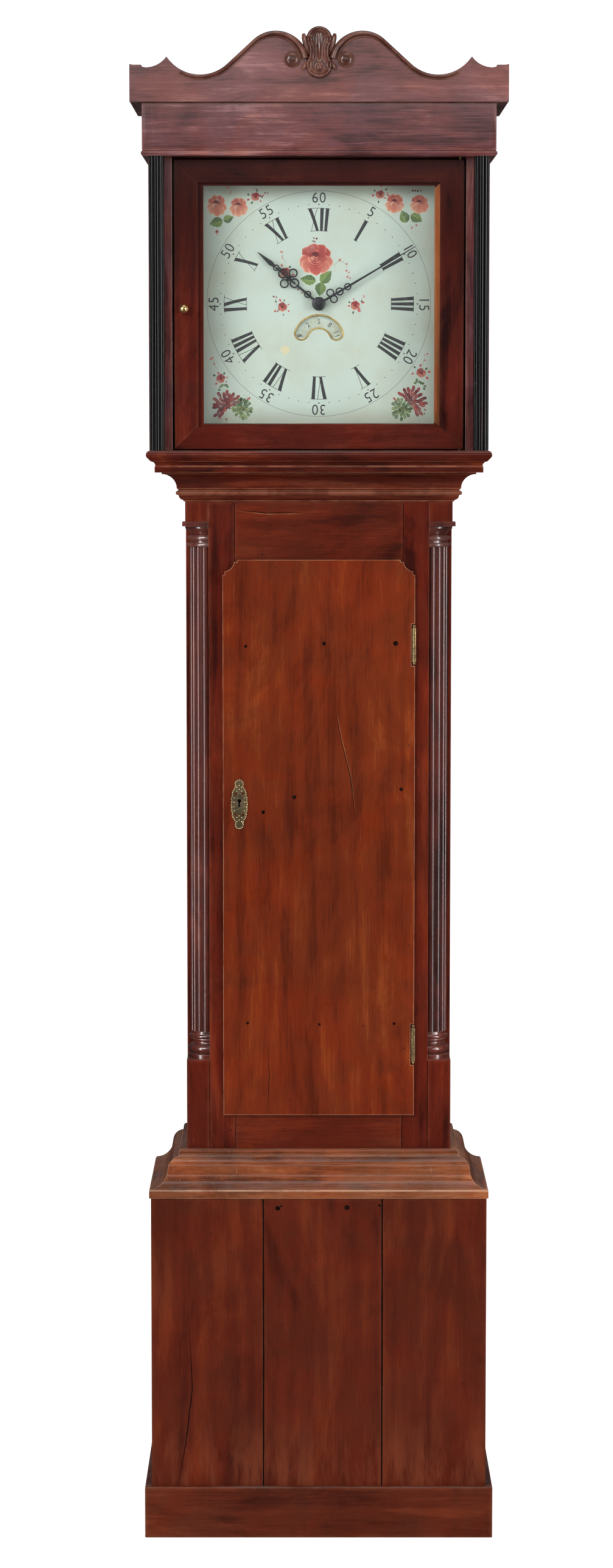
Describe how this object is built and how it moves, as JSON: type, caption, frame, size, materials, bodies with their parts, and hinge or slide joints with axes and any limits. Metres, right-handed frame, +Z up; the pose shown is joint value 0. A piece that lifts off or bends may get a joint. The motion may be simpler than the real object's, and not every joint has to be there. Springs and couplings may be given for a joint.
{
  "type": "longcase clock",
  "caption": "Tall floor-standing longcase clock with a sliding hood, glazed hood door, long trunk door, painted square dial, rope-driven movement and pendulum.",
  "frame": {"origin": "centre of the footprint's bounding box at floor level", "axes": "+Z up; the front with the dial faces -Y; +X to the right as seen from the front"},
  "size_m": [0.51, 0.258, 2.0807],
  "materials": {
    "door_mahogany": "old French polish, vertical grain",
    "case_mahogany": "old French polish, dark",
    "worn_mahogany": "polish worn off the raised parts",
    "hood_mahogany": "old polish with a purple cast",
    "mask_wood": "thinly polished",
    "pillar_black": "ebonised, glossy",
    "carcase_pine": "unpolished, aged",
    "hinge_brass": "rubbed bright on the edges",
    "escutcheon_brass": "tarnished",
    "movement_brass": "satin",
    "pillar_brass": "turned, satin",
    "bell_metal": "pale, dull",
    "movement_steel": "filed, dark",
    "hand_steel": "blackened",
    "dial_paint": "old white oil paint on sheet iron",
    "date_paint": "cream paint",
    "door_glass": "clear",
    "weight_iron": "as cast, dull",
    "rope": "twisted"
  },
  "bodies": {
    "case": {"plinth_boards": "case_mahogany", "base_front_boards": "case_mahogany", "base_sides": "case_mahogany", "base_floor": "carcase_pine", "base_moulding": "worn_mahogany", "backboard": "carcase_pine", "trunk_sides": "case_mahogany", "trunk_stiles": "case_mahogany", "trunk_rails": "case_mahogany", "corner_posts": "case_mahogany", "column_shafts": "case_mahogany", "column_turnings": "case_mahogany", "throat_moulding": "worn_mahogany", "seatboard": "carcase_pine", "frame_hinge_leaves": "hinge_brass", "movement_plates": "movement_brass", "movement_posts": "pillar_brass", "dial_plate": "dial_paint", "bell": "bell_metal", "bell_stand": "movement_steel", "back_cock": "movement_brass", "rope_over_pulleys": "rope", "rope_inner": "rope", "rope_outer": "rope"},
    "trunk_door": {"trunk_door": "door_mahogany", "door_hinge_leaves": "hinge_brass", "escutcheon": "escutcheon_brass", "lock_case": "movement_steel"},
    "lock_bolt": {"lock_bolt": "movement_brass"},
    "hood": {"hood_sides": "hood_mahogany", "hood_stiles": "hood_mahogany", "hood_base_moulding": "worn_mahogany", "hood_pillars": "pillar_black", "dial_mask": "mask_wood", "frieze_boards": "hood_mahogany", "frieze_bead": "hood_mahogany", "hood_top_boards": "hood_mahogany", "cresting_board": "hood_mahogany", "cresting_scrolls": "worn_mahogany", "cartouche": "worn_mahogany", "hood_door_pivots": "hinge_brass"},
    "hood_door": {"hood_door_frame": "hood_mahogany", "glass_pane": "door_glass", "hood_door_knob": "hinge_brass"},
    "minute": {"minute_hand": "hand_steel", "minute_arbor": "movement_brass"},
    "hour": {"hour_hand": "hand_steel", "hour_wheel": "movement_brass"},
    "date": {"date_ring": "date_paint"},
    "going_wheel": {"going_wheel": "movement_brass"},
    "strike_wheel": {"strike_wheel": "movement_brass"},
    "second_wheel": {"second_wheel": "movement_brass"},
    "escape_wheel": {"escape_wheel": "movement_brass"},
    "anchor": {"anchor": "movement_steel"},
    "pendulum": {"pendulum_rod": "movement_steel", "pendulum_bob": "pillar_brass"},
    "hammer": {"hammer": "movement_steel"},
    "weight": {"driving_weight": "weight_iron", "weight_pulley": "pillar_brass"},
    "ring_weight": {"ring_weight": "weight_iron"}
  },
  "joints": [
    {"name": "trunk_door_hinge", "type": "hinge", "parent": "case", "child": "trunk_door", "pos_m": [0.1315, -0.063, 0.976], "axis": [0, 0, 1], "range_deg": [0, 115]},
    {"name": "lock_bolt_slide", "type": "slide", "parent": "trunk_door", "child": "lock_bolt", "axis": [-1, 0, 0], "range_m": [0, 0.008]},
    {"name": "hood_slide", "type": "slide", "parent": "case", "child": "hood", "axis": [0, -1, 0], "range_m": [0, 0.26]},
    {"name": "hood_door_hinge", "type": "hinge", "parent": "hood", "child": "hood_door", "pos_m": [0.1925, -0.071, 1.7113], "axis": [0, 0, 1], "range_deg": [0, 100]},
    {"name": "going_wheel_spin", "type": "hinge", "parent": "case", "child": "going_wheel", "pos_m": [0.042, 0.03, 1.6723], "axis": [0, 1, 0], "continuous": true},
    {"name": "minute_spin", "type": "hinge", "parent": "case", "child": "minute", "pos_m": [0, -0.02, 1.7133], "axis": [0, 1, 0], "continuous": true},
    {"name": "hour_spin", "type": "hinge", "parent": "case", "child": "hour", "pos_m": [0, -0.02, 1.7133], "axis": [0, 1, 0], "continuous": true},
    {"name": "date_spin", "type": "hinge", "parent": "case", "child": "date", "pos_m": [0, -0.02, 1.6633], "axis": [0, 1, 0], "continuous": true},
    {"name": "second_wheel_spin", "type": "hinge", "parent": "case", "child": "second_wheel", "pos_m": [0.03, 0.03, 1.7083], "axis": [0, 1, 0], "continuous": true},
    {"name": "escape_wheel_spin", "type": "hinge", "parent": "case", "child": "escape_wheel", "pos_m": [0, 0.03, 1.7329], "axis": [0, 1, 0], "continuous": true},
    {"name": "strike_wheel_spin", "type": "hinge", "parent": "case", "child": "strike_wheel", "pos_m": [-0.042, 0.03, 1.6723], "axis": [0, 1, 0], "continuous": true},
    {"name": "pendulum_swing", "type": "hinge", "parent": "case", "child": "pendulum", "pos_m": [0, 0.084, 1.7779], "axis": [0, 1, 0], "range_deg": [-2.5, 2.5]},
    {"name": "anchor_swing", "type": "hinge", "parent": "case", "child": "anchor", "pos_m": [0, 0.03, 1.7779], "axis": [0, 1, 0], "range_deg": [-2.5, 2.5]},
    {"name": "hammer_swing", "type": "hinge", "parent": "case", "child": "hammer", "pos_m": [-0.05, 0.03, 1.7503], "axis": [0, 1, 0], "range_deg": [-15, 0], "stiffness_Nm_per_rad": 0.05, "springref_deg": 17.19},
    {"name": "weight_drop", "type": "slide", "parent": "case", "child": "weight", "axis": [0, 0, 1], "range_m": [-0.6, 0.28], "deforming": ["rope_inner"]},
    {"name": "ring_weight_rise", "type": "slide", "parent": "case", "child": "ring_weight", "axis": [0, 0, 1], "range_m": [-0.28, 0.6], "deforming": ["rope_outer"]}
  ],
  "couplings": [
    {"joint": "going_wheel_spin", "follows": "second_wheel_spin", "ratio": -0.125},
    {"joint": "minute_spin", "follows": "second_wheel_spin", "ratio": 0.125},
    {"joint": "hour_spin", "follows": "second_wheel_spin", "ratio": 0.010417},
    {"joint": "date_spin", "follows": "second_wheel_spin", "ratio": -0.00016801},
    {"joint": "escape_wheel_spin", "follows": "second_wheel_spin", "ratio": -7.5},
    {"joint": "anchor_swing", "follows": "pendulum_swing", "ratio": 1},
    {"joint": "ring_weight_rise", "follows": "weight_drop", "ratio": -1}
  ]
}
